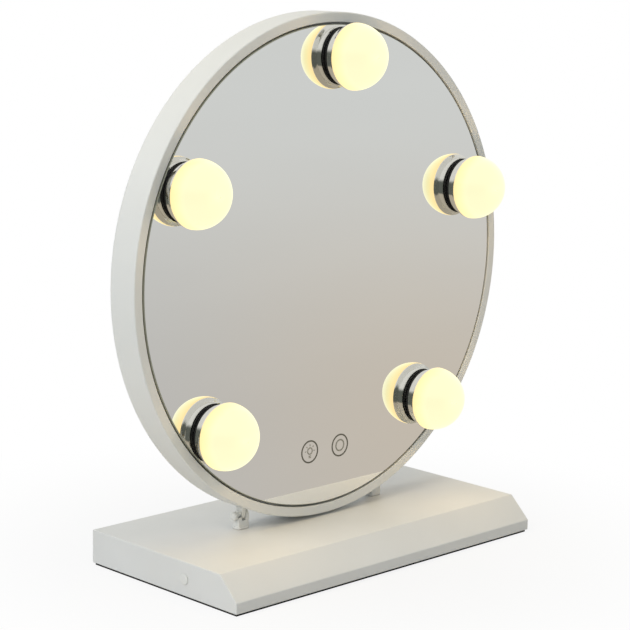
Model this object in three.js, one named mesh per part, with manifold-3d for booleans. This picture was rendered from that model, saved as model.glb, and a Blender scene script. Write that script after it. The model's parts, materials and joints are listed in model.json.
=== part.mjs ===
// A table-top make-up mirror: a round mirror head with five lit domes, hinged on a weighted base.
// Millimetres, +Z up, the glass faces -Y, and the origin is on the table under the middle of the base.
import * as THREE from "three";
import { mergeVertices } from "three/addons/utils/BufferGeometryUtils.js";
import Module from "manifold-3d";

const wasm = await Module();
wasm.setup();

// ---- Driving dimensions -------------------------------------------------

const FIT_GAP = 0.3; // left between pieces that touch
const OVERRUN = 1; // how far a cutter runs past the face it opens
const BIG_SEGMENTS = 60; // sides of the large rings and discs
const BULB_SEGMENTS = 16; // sides of the round pieces of a bulb
const SMALL_SEGMENTS = 12; // sides of screws, pins and holes

const BASE_WIDTH = 249;
const BASE_DEPTH = 125;
const BASE_TOP_Z = 21.4;
const BASE_NOSE_Z = 7.9; // top of the upright front edge, where the front slope begins
const BASE_SLOPE_RUN = 14;
const PAD_THICKNESS = 1.2;
const PAD_INSET = 1.2;

const CASING_RADIUS = 150;
const CASING_DEPTH = 22;
const CASING_FRONT_Y = -5;
const CASING_LIFT = 1.7; // clear height between the base and the lowest point of the casing
const CASING_WALL = 3;
const CASING_FRONT_ROUND = 1;
const CASING_REAR_ROUND = 3;
const RIM_WIDTH = 5.85;
const FLANGE_INNER_RADIUS = 134;
const FLANGE_THICKNESS = 2;

const GLASS_GAP = 1.15; // dark slot round the glass
const GLASS_THICKNESS = 4;
const GLASS_RECESS = 0.2;
const TAPE_THICKNESS = 0.5;
const TAPE_MARGIN = 1;
const BACKING_RADIUS = 137;
const BACKING_THICKNESS = 2;
const COVER_THICKNESS = 2.4;
const COVER_RECESS = 0.8;
const BOSS_RADIUS = 4;
const BOSS_CIRCLE_RADIUS = 143;
const BOSS_ANGLES = [45, 135, 225, 315];

const BULB_NAMES = ["top", "upper_right", "lower_right", "lower_left", "upper_left"];
const BULB_ANGLES = [86.4, 19.2, -46.2, -136, 155];
const BULB_CIRCLE_RADIUS = 124.7;
const DOME_RADIUS = 19.6;
const DOME_WALL = 1.4;
const DOME_SEAT = 8.5; // height of the dome's flat underside over the glass
const GASKET_RADIUS = 17;
const GASKET_HEIGHT = 2;
const COLLAR_RADIUS = 17.4;
const COLLAR_FLOOR = 4.5;
const COLLAR_BORE = 15.6;
const COLLAR_FLARE = 2.2; // height over which the collar widens to the dome
const COLLAR_LIP = 1.1;
const COLLAR_LIP_STEP = 0.2;
const DOME_NECK = 2.2;
const LED_BOARD_THICKNESS = 1;
const STEM_RADIUS = 4.5;
const STEM_HOLE_RADIUS = 5.2;
const STEM_END_Y = 9;
const NUT_WIDTH = 13;
const NUT_THICKNESS = 3.4;

const PIVOT_Y = 8.5;
const PIVOT_Z = 29.6;
const PIN_RADIUS = 1.2;
const PIN_BORE_RADIUS = 1.5;
const LUG_INNER_X = 55;
const LUG_OUTER_X = 57.8;
const LUG_RADIUS = 2.4;
const LUG_NECK = 1.9; // half the depth of the lug above its round end
const LUG_ROOT = 3.2; // half its depth where it meets the casing
const LUG_ROOT_Z = 35.5; // inside the casing wall above the lug
const FORK_CHEEK = 2.2; // thickness of each cheek beside the lug
const FORK_RADIUS = 2.7;
const FORK_FLOOR_Z = 26.6; // bottom of the slot the lug swings in
const FORK_BLIND_WALL = 0.8; // left at the inner end of the pin's bore
const PINCH_SLIT = 1.8; // height of the slit that lets the outer cheek pinch
const FOOT_HEIGHT = 1.2;
const FOOT_MARGIN = 0.4; // how far the foot stands out past the cheeks
const PEG_RADIUS = 0.9;
const PEG_OFFSET = 3.1;
const PEG_DEPTH = 3;
const KNOB_RADIUS = 2.6;
const KNOB_LENGTH = 2.9;
const KNOB_GRIP_LENGTH = 1.7;
const KNOB_CROWN_LENGTH = 2.5;
const KNOB_CROWN_RADIUS = 2;

const FOOT_SCREW_RADIUS = 1.1;
const FOOT_SCREW_HEAD_RADIUS = 3;
const FOOT_SCREW_HEAD = 2;
const FOOT_SCREW_SEAT_Z = 4.8;
const FOOT_SCREW_TIP_Z = 25;

const COVER_SCREW_RADIUS = 1.2;
const COVER_SCREW_HEAD_RADIUS = 2.8;
const COVER_SCREW_HEAD = 1.4;
const COVER_SCREW_CROWN_RADIUS = 2.24;
const COVER_SCREW_LENGTH = 8;

const TOUCH_BOARD_SIZE = [62, 24];
const TOUCH_BOARD_THICKNESS = 1;
const TOUCH_BOARD_DROP = 110; // below the middle of the glass
const CONTROL_BOARD_SIZE = [70, 36];
const CONTROL_BOARD_DROP = 62;
const BOARD_THICKNESS = 1.6;
const SPACER_HEIGHT = 2.1;
const SPACER_RADIUS = 3;
const SPACER_INSET = 5;
const CHIP = { x: -2, width: 12, length: 8, height: 1.4 };
const COIL = { x: 14.5, width: 9, length: 9, height: 3 };
const CAPACITOR = { x: -18, radius: 3.5, height: 3.4 };
const WINDOW_WIDTH = 18; // opening in the backing plate for the ribbon
const WINDOW_HEIGHT = 14;
const WINDOW_MARGIN = 4;
const RIBBON_WIDTH = 14;
const RIBBON_THICKNESS = 0.6;
const RIBBON_END = 5; // straight length at each end of the ribbon
const SOCKET_X = 36;
const SOCKET_DROP = 98;
const SOCKET_RADIUS = 4;
const SOCKET_FLANGE_RADIUS = 5.6;
const SOCKET_BORE_RADIUS = 2.8;
const SOCKET_PIN_RADIUS = 1;
const SOCKET_FLANGE = 0.9;
const SOCKET_FLOOR = 1.5;
const SOCKET_CLEARANCE = 1; // between the socket and the plane of the board's back
const LEAD_RADIUS = 0.9;
const LEAD_RISE = 1.2; // straight length at each end of a lead
const LEAD_RUN = 3; // clear height of a lead over the board
const POWER_LEAD_SHIFT = 5;
const LEAD_RUN_SHARES = [0.93, 0.5, 0.08]; // points of a lead between its lamp and the board
const LEAD_LANDINGS = [[0, 12], [22, 12], [29, -3], [-29, -3], [-22, 12]]; // x and z from the board's middle

const PLUG_Y = -19.5;
const PLUG_Z = 11.3;
const PLUG_RADIUS = 3.2;
const PLUG_DEPTH = 6;
const PLUG_CAP = 0.5;

// ---- Sizes worked out from the driving ones -----------------------------

const HEAD_Z = BASE_TOP_Z + CASING_LIFT + CASING_RADIUS;
const CASING_BACK_Y = CASING_FRONT_Y + CASING_DEPTH;
const CASING_BORE = CASING_RADIUS - CASING_WALL;
const RIM_BORE = CASING_RADIUS - RIM_WIDTH;
const GLASS_RADIUS = RIM_BORE - GLASS_GAP;
const GLASS_FRONT_Y = CASING_FRONT_Y + GLASS_RECESS;
const GLASS_BACK_Y = GLASS_FRONT_Y + GLASS_THICKNESS;
const TAPE_BACK_Y = GLASS_BACK_Y + FIT_GAP + TAPE_THICKNESS;
const FLANGE_FRONT_Y = TAPE_BACK_Y + FIT_GAP;
const FLANGE_BACK_Y = FLANGE_FRONT_Y + FLANGE_THICKNESS;
const BACKING_FRONT_Y = FLANGE_BACK_Y + FIT_GAP;
const BACKING_BACK_Y = BACKING_FRONT_Y + BACKING_THICKNESS;
const COVER_BACK_Y = CASING_BACK_Y - COVER_RECESS;
const COVER_FRONT_Y = COVER_BACK_Y - COVER_THICKNESS;
const BOARD_FRONT_Y = BACKING_BACK_Y + SPACER_HEIGHT + FIT_GAP;
const BOARD_BACK_Y = BOARD_FRONT_Y + BOARD_THICKNESS;
const FORK_INNER_X = LUG_INNER_X - FIT_GAP - FORK_CHEEK;
const FORK_OUTER_X = LUG_OUTER_X + FIT_GAP + FORK_CHEEK;
const FORK_MIDDLE_X = (FORK_INNER_X + FORK_OUTER_X) / 2;
const BOARD_UNDERSIDE_Z = PAD_THICKNESS + FIT_GAP;

// ---- Finishes -----------------------------------------------------------

const FINISHES = {
  white_lacquer: { color: 0xdcdad2, roughness: 0.45, metalness: 0 },
  white_plastic: { color: 0xe2dfd6, roughness: 0.4, metalness: 0 },
  mirror_silver: { color: 0xc9c9c6, roughness: 0.03, metalness: 1 },
  chrome: { color: 0xc8c8c8, roughness: 0.12, metalness: 1 },
  lit_dome: { color: 0xfff6cc, roughness: 0.35, metalness: 0 },
  black_rubber: { color: 0x141414, roughness: 0.8, metalness: 0 },
  black_foam: { color: 0x1c1c1b, roughness: 0.95, metalness: 0 },
  steel: { color: 0x9a9c9e, roughness: 0.35, metalness: 1 },
  circuit_board: { color: 0x1f5b3a, roughness: 0.5, metalness: 0 },
  led_board: { color: 0xf0f0ea, roughness: 0.5, metalness: 0 },
  ribbon_cable: { color: 0xe6e6e0, roughness: 0.5, metalness: 0 },
  black_plastic: { color: 0x1a1a1a, roughness: 0.3, metalness: 0 },
  wire_sleeve: { color: 0xb22a22, roughness: 0.5, metalness: 0 },
};

function material(finish) {
  return new THREE.MeshStandardMaterial(FINISHES[finish]);
}

// ---- Solids: three.js shapes them, manifold-3d joins and cuts them -------

function solidOf(geometry) {
  geometry.deleteAttribute("normal");
  geometry.deleteAttribute("uv");
  const merged = mergeVertices(geometry, 1e-4);
  const corners = merged.index.array;
  const kept = [];
  for (let i = 0; i < corners.length; i += 3) {
    const [a, b, c] = corners.subarray(i, i + 3);
    if (a !== b && b !== c && c !== a) kept.push(a, b, c);
  }
  return new wasm.Manifold(
    new wasm.Mesh({
      numProp: 3,
      vertProperties: merged.attributes.position.array,
      triVerts: new Uint32Array(kept),
    }),
  );
}

function meshOf(name, solid, finish) {
  const made = solid.getMesh();
  const geometry = new THREE.BufferGeometry();
  geometry.setAttribute("position", new THREE.BufferAttribute(made.vertProperties, 3));
  geometry.setIndex(new THREE.BufferAttribute(made.triVerts, 1));
  const mesh = new THREE.Mesh(geometry, material(finish));
  mesh.name = name;
  return mesh;
}

// A turned solid about Y. The profile lists [radius, height] pairs anticlockwise, from the axis or closed.
function turned(profile, segments) {
  const points = profile.map(([radius, height]) => new THREE.Vector2(radius, height));
  return solidOf(new THREE.LatheGeometry(points, segments));
}

// The same ring closed on itself, for a profile that stays off the axis.
function turnedRing(profile, segments) {
  return turned([...profile, profile[0]], segments);
}

// A disc or rod along Y, from one height to another.
function rod(radius, fromY, toY, segments) {
  const geometry = new THREE.CylinderGeometry(radius, radius, toY - fromY, segments);
  geometry.translate(0, (fromY + toY) / 2, 0);
  return solidOf(geometry);
}

function rodAlongX(radius, fromX, toX, y, z) {
  const geometry = new THREE.CylinderGeometry(radius, radius, toX - fromX, SMALL_SEGMENTS * 2);
  geometry.rotateZ(-Math.PI / 2);
  geometry.translate((fromX + toX) / 2, y, z);
  return solidOf(geometry);
}

function rodAlongZ(radius, x, y, fromZ, toZ) {
  const geometry = new THREE.CylinderGeometry(radius, radius, toZ - fromZ, SMALL_SEGMENTS);
  geometry.rotateX(Math.PI / 2);
  geometry.translate(x, y, (fromZ + toZ) / 2);
  return solidOf(geometry);
}

function block([fromX, toX], [fromY, toY], [fromZ, toZ]) {
  const geometry = new THREE.BoxGeometry(toX - fromX, toY - fromY, toZ - fromZ);
  geometry.translate((fromX + toX) / 2, (fromY + toY) / 2, (fromZ + toZ) / 2);
  return solidOf(geometry);
}

// A flat outline in the Y-Z plane, given as [y, z] pairs, drawn out along X.
function barAlongX(outline, fromX, toX) {
  const shape = new THREE.Shape(outline.map(([y, z]) => new THREE.Vector2(y, z)));
  const geometry = new THREE.ExtrudeGeometry(shape, { depth: toX - fromX, bevelEnabled: false });
  geometry.applyMatrix4(new THREE.Matrix4().set(0, 0, 1, fromX, 1, 0, 0, 0, 0, 1, 0, 0, 0, 0, 0, 1));
  return solidOf(geometry);
}

function arc(centreU, centreV, radius, fromDegrees, toDegrees, steps) {
  const points = [];
  for (let i = 0; i <= steps; i++) {
    const angle = THREE.MathUtils.degToRad(fromDegrees + ((toDegrees - fromDegrees) * i) / steps);
    points.push([centreU + radius * Math.cos(angle), centreV + radius * Math.sin(angle)]);
  }
  return points;
}

function onCircle(radius, degrees) {
  const angle = THREE.MathUtils.degToRad(degrees);
  return [radius * Math.cos(angle), radius * Math.sin(angle)];
}

// Wire with a round section along a smooth curve through the points.
function wire(radius, points, steps) {
  const path = new THREE.CatmullRomCurve3(points.map((point) => new THREE.Vector3(...point)));
  const section = new THREE.Shape(arc(0, 0, radius, 0, 300, 5).map(([u, v]) => new THREE.Vector2(u, v)));
  return solidOf(new THREE.ExtrudeGeometry(section, { steps, extrudePath: path, bevelEnabled: false }));
}

// ---- Base: lacquered board, foam pad, side plug --------------------------

function baseBoard() {
  const front = -BASE_DEPTH / 2;
  const outline = [
    [front, BOARD_UNDERSIDE_Z],
    [-front, BOARD_UNDERSIDE_Z],
    [-front, BASE_TOP_Z],
    [front + BASE_SLOPE_RUN, BASE_TOP_Z],
    [front, BASE_NOSE_Z],
  ];
  let board = barAlongX(outline, -BASE_WIDTH / 2, BASE_WIDTH / 2);
  for (const side of [-1, 1]) {
    const x = side * FORK_MIDDLE_X;
    const headRoom = FOOT_SCREW_HEAD_RADIUS + 2 * FIT_GAP;
    board = board.subtract(rodAlongZ(headRoom, x, PIVOT_Y, 0, FOOT_SCREW_SEAT_Z));
    board = board.subtract(rodAlongZ(FOOT_SCREW_RADIUS + 2 * FIT_GAP, x, PIVOT_Y, 0, BASE_TOP_Z + OVERRUN));
    for (const end of [-1, 1]) {
      const pegX = x + end * PEG_OFFSET;
      const bottom = BASE_TOP_Z - PEG_DEPTH - FIT_GAP;
      board = board.subtract(rodAlongZ(PEG_RADIUS + FIT_GAP, pegX, PIVOT_Y, bottom, BASE_TOP_Z + OVERRUN));
    }
  }
  const end = -BASE_WIDTH / 2;
  const bore = rodAlongX(PLUG_RADIUS - 2 * FIT_GAP, end - OVERRUN, end + PLUG_DEPTH, PLUG_Y, PLUG_Z);
  return meshOf("base_board", board.subtract(bore), "white_lacquer");
}

function basePad() {
  const halfWidth = BASE_WIDTH / 2 - PAD_INSET;
  const halfDepth = BASE_DEPTH / 2 - PAD_INSET;
  const pad = block([-halfWidth, halfWidth], [-halfDepth, halfDepth], [0, PAD_THICKNESS]);
  return meshOf("base_pad", pad, "black_foam");
}

function sidePlug() {
  const end = -BASE_WIDTH / 2;
  const cap = rodAlongX(PLUG_RADIUS, end - FIT_GAP - PLUG_CAP, end - FIT_GAP, PLUG_Y, PLUG_Z);
  const shank = rodAlongX(PLUG_RADIUS - 3 * FIT_GAP, end - 2 * FIT_GAP, end + PLUG_DEPTH / 2, PLUG_Y, PLUG_Z);
  return meshOf("side_plug", cap.add(shank), "white_plastic");
}

// ---- Hinge brackets, one at each side under the head ---------------------

function mirrored(solid, side) {
  return side > 0 ? solid : solid.mirror([1, 0, 0]);
}

// A fork with a round top, standing on a low foot with two pegs.
function footBracket(name, side) {
  const underside = BASE_TOP_Z + FIT_GAP;
  const reach = FORK_RADIUS + FOOT_MARGIN;
  const foot = block(
    [FORK_INNER_X - FOOT_MARGIN, FORK_OUTER_X + FOOT_MARGIN],
    [PIVOT_Y - reach, PIVOT_Y + reach],
    [underside, underside + FOOT_HEIGHT],
  );
  const forkOutline = [
    [PIVOT_Y - FORK_RADIUS, underside + FIT_GAP],
    [PIVOT_Y + FORK_RADIUS, underside + FIT_GAP],
    ...arc(PIVOT_Y, PIVOT_Z, FORK_RADIUS, 0, 180, SMALL_SEGMENTS),
  ];
  let bracket = foot.add(barAlongX(forkOutline, FORK_INNER_X, FORK_OUTER_X));
  for (const end of [-1, 1]) {
    const pegX = FORK_MIDDLE_X + end * PEG_OFFSET;
    const pegBottom = BASE_TOP_Z - PEG_DEPTH;
    bracket = bracket.add(rodAlongZ(PEG_RADIUS, pegX, PIVOT_Y, pegBottom, underside + FIT_GAP));
  }
  const slot = block(
    [LUG_INNER_X - FIT_GAP, LUG_OUTER_X + FIT_GAP],
    [PIVOT_Y - reach - OVERRUN, PIVOT_Y + reach + OVERRUN],
    [FORK_FLOOR_Z, PIVOT_Z + FORK_RADIUS + OVERRUN],
  );
  const slit = block(
    [LUG_OUTER_X, FORK_OUTER_X + OVERRUN],
    [PIVOT_Y - reach - OVERRUN, PIVOT_Y],
    [PIVOT_Z - PINCH_SLIT / 2, PIVOT_Z + PINCH_SLIT / 2],
  );
  const boreEnd = FORK_INNER_X + FORK_BLIND_WALL;
  const bore = rodAlongX(PIN_BORE_RADIUS, boreEnd, FORK_OUTER_X + OVERRUN, PIVOT_Y, PIVOT_Z);
  const pilotTop = FOOT_SCREW_TIP_Z + FIT_GAP;
  const pilotRadius = FOOT_SCREW_RADIUS + FIT_GAP;
  const pilot = rodAlongZ(pilotRadius, FORK_MIDDLE_X, PIVOT_Y, BASE_TOP_Z - OVERRUN, pilotTop);
  const cut = bracket.subtract(slot).subtract(slit).subtract(bore).subtract(pilot);
  return meshOf(name, mirrored(cut, side), "white_plastic");
}

function footScrew(name, side) {
  const headTop = FOOT_SCREW_SEAT_Z - FIT_GAP;
  const x = side * FORK_MIDDLE_X;
  const head = rodAlongZ(FOOT_SCREW_HEAD_RADIUS, x, PIVOT_Y, headTop - FOOT_SCREW_HEAD, headTop);
  const shank = rodAlongZ(FOOT_SCREW_RADIUS, x, PIVOT_Y, headTop - FIT_GAP, FOOT_SCREW_TIP_Z);
  return meshOf(name, head.add(shank), "steel");
}

function thumbKnob(name, side) {
  const seat = FORK_OUTER_X + FIT_GAP;
  const tip = FORK_INNER_X + FORK_BLIND_WALL + FIT_GAP;
  const profile = [
    [0, tip],
    [PIN_RADIUS, tip],
    [PIN_RADIUS, seat],
    [KNOB_RADIUS, seat],
    [KNOB_RADIUS, seat + KNOB_GRIP_LENGTH],
    [KNOB_CROWN_RADIUS, seat + KNOB_CROWN_LENGTH],
    [0, seat + KNOB_LENGTH],
  ];
  const knob = turned(profile, SMALL_SEGMENTS * 2).rotate([0, 0, -90]).translate([0, PIVOT_Y, PIVOT_Z]);
  return meshOf(name, mirrored(knob, side), "white_plastic");
}

// ---- Mirror head: pieces are made about the middle of the glass ----------

function hingeLug(side) {
  const pivot = PIVOT_Z - HEAD_Z;
  const root = LUG_ROOT_Z - HEAD_Z;
  const outline = [
    ...arc(PIVOT_Y, pivot, LUG_RADIUS, 140, 400, 2 * SMALL_SEGMENTS),
    [PIVOT_Y + LUG_NECK, pivot + LUG_RADIUS],
    [PIVOT_Y + LUG_ROOT, root],
    [PIVOT_Y - LUG_ROOT, root],
    [PIVOT_Y - LUG_NECK, pivot + LUG_RADIUS],
  ];
  const lug = barAlongX(outline, LUG_INNER_X, LUG_OUTER_X);
  const [from, to] = [LUG_INNER_X - OVERRUN, LUG_OUTER_X + OVERRUN];
  return mirrored(lug.subtract(rodAlongX(PIN_BORE_RADIUS, from, to, PIVOT_Y, pivot)), side);
}

function screwBoss(degrees) {
  const [x, z] = onCircle(BOSS_CIRCLE_RADIUS, degrees);
  const boss = rod(BOSS_RADIUS, FLANGE_BACK_Y - FIT_GAP, COVER_FRONT_Y - FIT_GAP, SMALL_SEGMENTS);
  const pilotFrom = COVER_FRONT_Y - COVER_SCREW_LENGTH;
  const pilot = rod(COVER_SCREW_RADIUS + FIT_GAP, pilotFrom, COVER_FRONT_Y + OVERRUN, SMALL_SEGMENTS);
  return boss.subtract(pilot).translate([x, 0, z]);
}

function casingRing() {
  const front = CASING_FRONT_Y;
  const back = CASING_BACK_Y;
  const soft = CASING_FRONT_ROUND;
  const round = CASING_REAR_ROUND;
  const profile = [
    [RIM_BORE, front],
    ...arc(CASING_RADIUS - soft, front + soft, soft, -90, 0, 2),
    ...arc(CASING_RADIUS - round, back - round, round, 0, 90, 4),
    [CASING_BORE - FIT_GAP, back],
    [CASING_BORE - FIT_GAP, FLANGE_BACK_Y],
    [FLANGE_INNER_RADIUS, FLANGE_BACK_Y],
    [FLANGE_INNER_RADIUS, FLANGE_FRONT_Y],
    [RIM_BORE, FLANGE_FRONT_Y],
  ];
  let ring = turnedRing(profile, BIG_SEGMENTS);
  for (const degrees of BOSS_ANGLES) {
    ring = ring.add(screwBoss(degrees));
  }
  for (const side of [-1, 1]) {
    ring = ring.add(hingeLug(side));
  }
  return meshOf("casing_ring", ring, "white_plastic");
}

function bulbPlaces() {
  return BULB_ANGLES.map((degrees) => onCircle(BULB_CIRCLE_RADIUS, degrees));
}

function drilledForBulbs(disc, fromY, toY) {
  let drilled = disc;
  for (const [x, z] of bulbPlaces()) {
    const hole = rod(STEM_HOLE_RADIUS, fromY - OVERRUN, toY + OVERRUN, SMALL_SEGMENTS).translate([x, 0, z]);
    drilled = drilled.subtract(hole);
  }
  return drilled;
}

function mirrorGlass() {
  const disc = rod(GLASS_RADIUS, GLASS_FRONT_Y, GLASS_BACK_Y, BIG_SEGMENTS);
  return meshOf("mirror_glass", drilledForBulbs(disc, GLASS_FRONT_Y, GLASS_BACK_Y), "mirror_silver");
}

function glassTape() {
  const from = GLASS_BACK_Y + FIT_GAP;
  const profile = [
    [FLANGE_INNER_RADIUS + TAPE_MARGIN, from],
    [GLASS_RADIUS - TAPE_MARGIN, from],
    [GLASS_RADIUS - TAPE_MARGIN, TAPE_BACK_Y],
    [FLANGE_INNER_RADIUS + TAPE_MARGIN, TAPE_BACK_Y],
  ];
  return meshOf("glass_tape", turnedRing(profile, BIG_SEGMENTS / 2), "black_foam");
}

function boardSpacers() {
  const [width, height] = CONTROL_BOARD_SIZE;
  const spacers = [];
  for (const x of [-1, 1]) {
    for (const z of [-1, 1]) {
      const postTop = BACKING_BACK_Y + SPACER_HEIGHT;
      const post = rod(SPACER_RADIUS, BACKING_BACK_Y - FIT_GAP, postTop, SMALL_SEGMENTS);
      const acrossX = x * (width / 2 - SPACER_INSET);
      const acrossZ = z * (height / 2 - SPACER_INSET);
      spacers.push(post.translate([acrossX, 0, acrossZ - CONTROL_BOARD_DROP]));
    }
  }
  return spacers;
}

function backingPlate() {
  const disc = rod(BACKING_RADIUS, BACKING_FRONT_Y, BACKING_BACK_Y, BIG_SEGMENTS);
  let plate = drilledForBulbs(disc, BACKING_FRONT_Y, BACKING_BACK_Y);
  for (const spacer of boardSpacers()) {
    plate = plate.add(spacer);
  }
  const windowTop = -CONTROL_BOARD_DROP - CONTROL_BOARD_SIZE[1] / 2 - WINDOW_MARGIN;
  const window = block(
    [-WINDOW_WIDTH / 2, WINDOW_WIDTH / 2],
    [BACKING_FRONT_Y - OVERRUN, BACKING_BACK_Y + OVERRUN],
    [windowTop - WINDOW_HEIGHT, windowTop],
  );
  return meshOf("backing_plate", plate.subtract(window), "white_plastic");
}

function rearCover() {
  let cover = rod(CASING_BORE - 3 * FIT_GAP, COVER_FRONT_Y, COVER_BACK_Y, BIG_SEGMENTS);
  const seat = COVER_BACK_Y - COVER_SCREW_HEAD / 2 - FIT_GAP;
  const [from, to] = [COVER_FRONT_Y - OVERRUN, COVER_BACK_Y + OVERRUN];
  for (const degrees of BOSS_ANGLES) {
    const [x, z] = onCircle(BOSS_CIRCLE_RADIUS, degrees);
    const hole = rod(COVER_SCREW_RADIUS + 2 * FIT_GAP, from, to, SMALL_SEGMENTS);
    const headSeat = rod(COVER_SCREW_HEAD_RADIUS + FIT_GAP, seat, to, SMALL_SEGMENTS);
    cover = cover.subtract(hole.add(headSeat).translate([x, 0, z]));
  }
  const socketHole = rod(SOCKET_RADIUS + FIT_GAP, from, to, BULB_SEGMENTS);
  cover = cover.subtract(socketHole.translate([SOCKET_X, 0, -SOCKET_DROP]));
  return meshOf("rear_cover", cover, "white_plastic");
}

function coverScrew(name, degrees) {
  const [x, z] = onCircle(BOSS_CIRCLE_RADIUS, degrees);
  const seat = COVER_BACK_Y - COVER_SCREW_HEAD / 2;
  const tip = COVER_FRONT_Y - COVER_SCREW_LENGTH + 2 * FIT_GAP;
  const profile = [
    [0, tip],
    [COVER_SCREW_RADIUS, tip],
    [COVER_SCREW_RADIUS, seat],
    [COVER_SCREW_HEAD_RADIUS, seat],
    [COVER_SCREW_CROWN_RADIUS, seat + COVER_SCREW_HEAD],
    [0, seat + COVER_SCREW_HEAD],
  ];
  return meshOf(name, turned(profile, SMALL_SEGMENTS).translate([x, 0, z]), "steel");
}

// ---- Bulbs: heights are measured forward from the face of the glass ------

function turnedOnGlass(profile, [x, z]) {
  return turned(profile, BULB_SEGMENTS).rotate([180, 0, 0]).translate([x, GLASS_FRONT_Y, z]);
}

function bulbGasket(name, place) {
  const bore = STEM_RADIUS + FIT_GAP;
  const profile = [
    [bore, FIT_GAP],
    [GASKET_RADIUS, FIT_GAP],
    [GASKET_RADIUS, GASKET_HEIGHT],
    [bore, GASKET_HEIGHT],
    [bore, FIT_GAP],
  ];
  return meshOf(name, turnedOnGlass(profile, place), "black_rubber");
}

function bulbCollar(name, place) {
  const underside = GASKET_HEIGHT + FIT_GAP;
  const lip = DOME_SEAT - FIT_GAP;
  const profile = [
    [0, GLASS_FRONT_Y - STEM_END_Y],
    [STEM_RADIUS, GLASS_FRONT_Y - STEM_END_Y],
    [STEM_RADIUS, underside],
    [COLLAR_RADIUS, underside],
    [COLLAR_RADIUS, lip - COLLAR_FLARE],
    [DOME_RADIUS - COLLAR_LIP_STEP, lip - COLLAR_LIP],
    [DOME_RADIUS - COLLAR_LIP_STEP, lip],
    [COLLAR_BORE, lip],
    [COLLAR_BORE, COLLAR_FLOOR],
    [0, COLLAR_FLOOR],
  ];
  return meshOf(name, turnedOnGlass(profile, place), "chrome");
}

function bulbDome(name, place) {
  const neck = COLLAR_BORE - FIT_GAP;
  const neckBore = neck - DOME_WALL;
  const neckEnd = DOME_SEAT - DOME_NECK;
  const innerRadius = DOME_RADIUS - DOME_WALL;
  const shoulder = THREE.MathUtils.radToDeg(Math.acos(neckBore / innerRadius));
  const profile = [
    [neckBore, neckEnd],
    [neck, neckEnd],
    [neck, DOME_SEAT],
    ...arc(0, DOME_SEAT, DOME_RADIUS, 0, 90, 6),
    ...arc(0, DOME_SEAT, innerRadius, 90, shoulder, 3),
    [neckBore, neckEnd],
  ];
  return meshOf(name, turnedOnGlass(profile, place), "lit_dome");
}

function ledBoard(name, place) {
  const from = COLLAR_FLOOR + FIT_GAP;
  const radius = COLLAR_BORE - 2 * FIT_GAP;
  const profile = [
    [0, from],
    [radius, from],
    [radius, from + LED_BOARD_THICKNESS],
    [0, from + LED_BOARD_THICKNESS],
  ];
  return meshOf(name, turnedOnGlass(profile, place), "led_board");
}

function stemNut(name, [x, z]) {
  const from = BACKING_BACK_Y + FIT_GAP;
  const to = from + NUT_THICKNESS;
  const hexagon = rod(NUT_WIDTH / Math.sqrt(3), from, to, 6);
  const bore = rod(STEM_RADIUS + FIT_GAP, from - OVERRUN, to + OVERRUN, SMALL_SEGMENTS);
  return meshOf(name, hexagon.subtract(bore).translate([x, 0, z]), "steel");
}

// ---- Electrics inside the head -------------------------------------------

function touchBoard() {
  const [width, height] = TOUCH_BOARD_SIZE;
  const from = GLASS_BACK_Y + FIT_GAP;
  const middle = -TOUCH_BOARD_DROP;
  const board = block(
    [-width / 2, width / 2],
    [from, from + TOUCH_BOARD_THICKNESS],
    [middle - height / 2, middle + height / 2],
  );
  return meshOf("touch_board", board, "circuit_board");
}

function component({ x, width, length, height }, bottom, middle) {
  const across = [x - width / 2, x + width / 2];
  return block(across, [bottom, BOARD_BACK_Y + height], [middle - length / 2, middle + length / 2]);
}

function controlBoard() {
  const [width, height] = CONTROL_BOARD_SIZE;
  const middle = -CONTROL_BOARD_DROP;
  const top = BOARD_BACK_Y - FIT_GAP;
  let board = block(
    [-width / 2, width / 2],
    [BOARD_FRONT_Y, BOARD_BACK_Y],
    [middle - height / 2, middle + height / 2],
  );
  for (const part of [CHIP, COIL]) {
    board = board.add(component(part, top, middle));
  }
  const capacitor = rod(CAPACITOR.radius, top, BOARD_BACK_Y + CAPACITOR.height, SMALL_SEGMENTS);
  board = board.add(capacitor.translate([CAPACITOR.x, 0, middle]));
  return meshOf("control_board", board, "circuit_board");
}

function touchRibbon() {
  const boardEdge = -TOUCH_BOARD_DROP + TOUCH_BOARD_SIZE[1] / 2;
  const controlEdge = -CONTROL_BOARD_DROP - CONTROL_BOARD_SIZE[1] / 2;
  const front = GLASS_BACK_Y + FIT_GAP;
  const outline = [
    [front, boardEdge + FIT_GAP],
    [front + RIBBON_THICKNESS, boardEdge + FIT_GAP],
    [front + RIBBON_THICKNESS, boardEdge + RIBBON_END],
    [BOARD_BACK_Y, controlEdge - RIBBON_END - RIBBON_THICKNESS],
    [BOARD_BACK_Y, controlEdge - FIT_GAP],
    [BOARD_BACK_Y - RIBBON_THICKNESS, controlEdge - FIT_GAP],
    [BOARD_BACK_Y - RIBBON_THICKNESS, controlEdge - RIBBON_END],
    [front, boardEdge + RIBBON_END + RIBBON_THICKNESS],
  ];
  const ribbon = barAlongX(outline, -RIBBON_WIDTH / 2, RIBBON_WIDTH / 2);
  return meshOf("touch_ribbon", ribbon, "ribbon_cable");
}

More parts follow.
